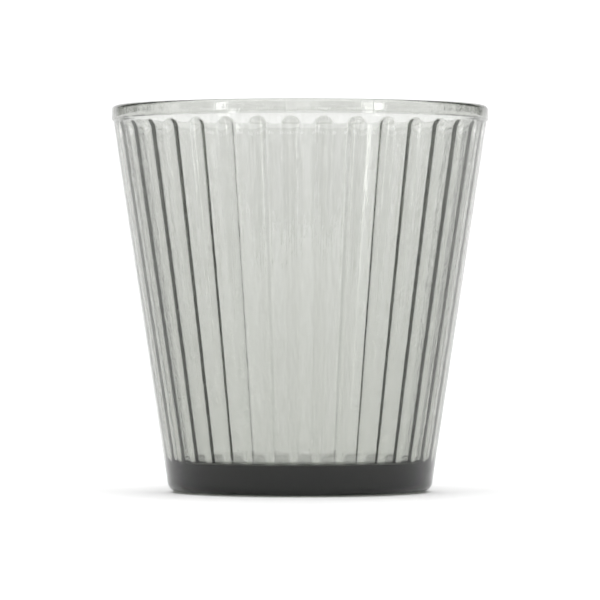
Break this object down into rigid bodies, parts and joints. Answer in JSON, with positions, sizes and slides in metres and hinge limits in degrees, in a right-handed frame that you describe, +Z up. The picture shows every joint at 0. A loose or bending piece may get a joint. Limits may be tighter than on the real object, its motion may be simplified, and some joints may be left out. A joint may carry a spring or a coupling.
{
  "type": "whiskey tumbler",
  "caption": "Tapered pressed-glass tumbler in smoke grey, smooth outside, with vertical ribs inside the wall under a smooth lip band, and a thick solid base.",
  "frame": {"origin": "middle of the circle that the glass stands on, at the height of the table", "axes": "+Z up along the glass's axis; a rib's crest lies on +X"},
  "size_m": [0.088, 0.088, 0.09],
  "materials": {
    "smoke_glass": "clear smoke-grey glass, fire polished"
  },
  "bodies": {
    "root": {"rim": "smoke_glass", "ribbed_wall": "smoke_glass", "base": "smoke_glass"}
  },
  "joints": []
}
